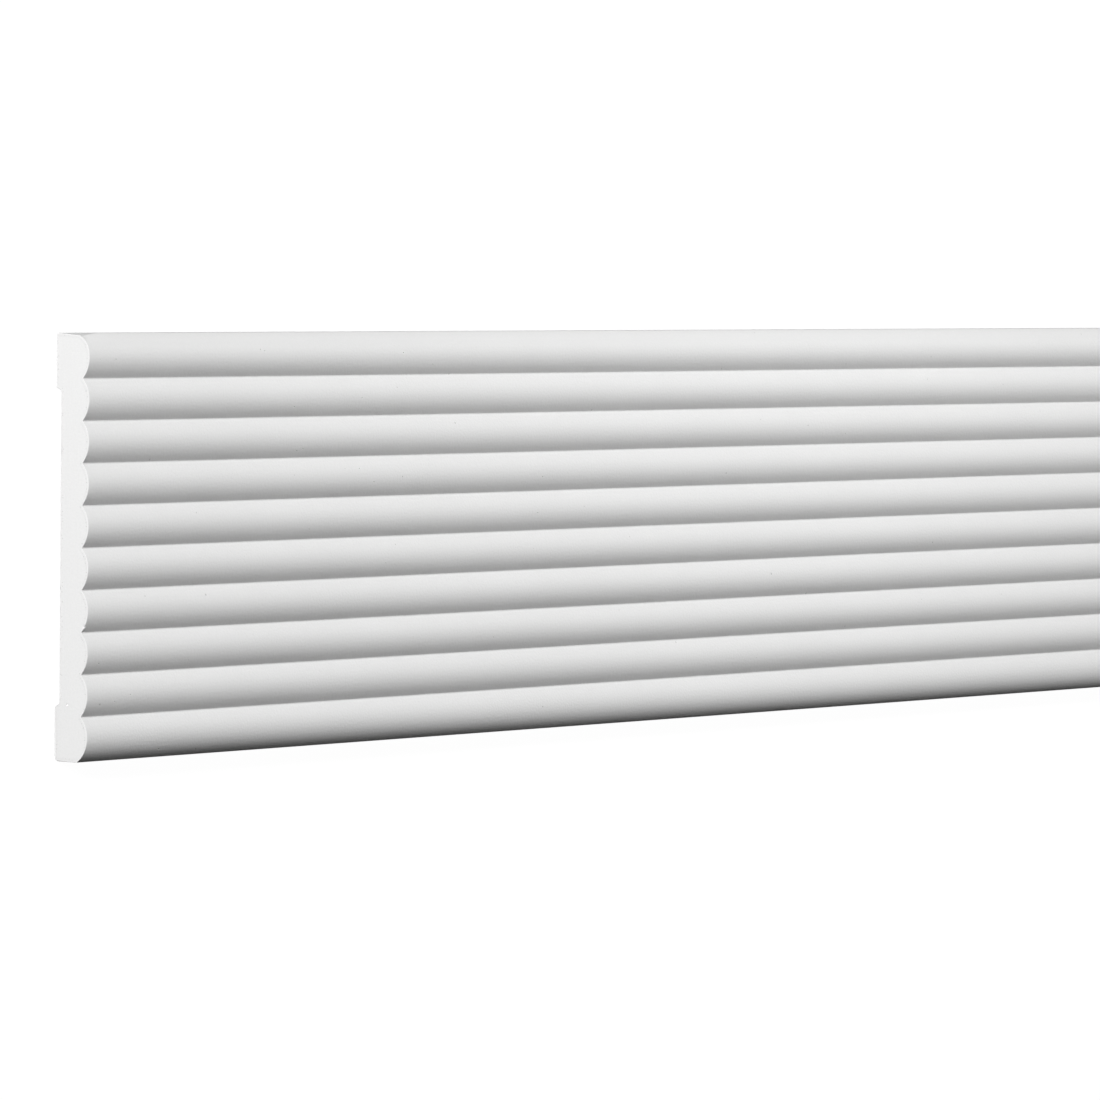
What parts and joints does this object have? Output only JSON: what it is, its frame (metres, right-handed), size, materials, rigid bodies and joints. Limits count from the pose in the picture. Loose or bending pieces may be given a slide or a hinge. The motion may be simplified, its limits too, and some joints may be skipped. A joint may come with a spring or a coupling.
{
  "type": "dado rail",
  "caption": "Straight length of white rigid foam dado rail, its flat front covered in equal round reeds, with two flat lands and a shallow adhesive recess along the back.",
  "frame": {"origin": "centre of the length and width, on the level floor under the two back lands", "axes": "+X along the length, towards the right end as seen from the reeded front; +Y across the width, towards the edge that is up on the wall; +Z from the wall side out to the crests of the reeds"},
  "size_m": [2, 0.2, 0.02],
  "materials": {
    "primed_white": "factory primed matt white over rigid polyurethane foam"
  },
  "bodies": {
    "root": {"dado_rail": "primed_white"}
  },
  "joints": []
}
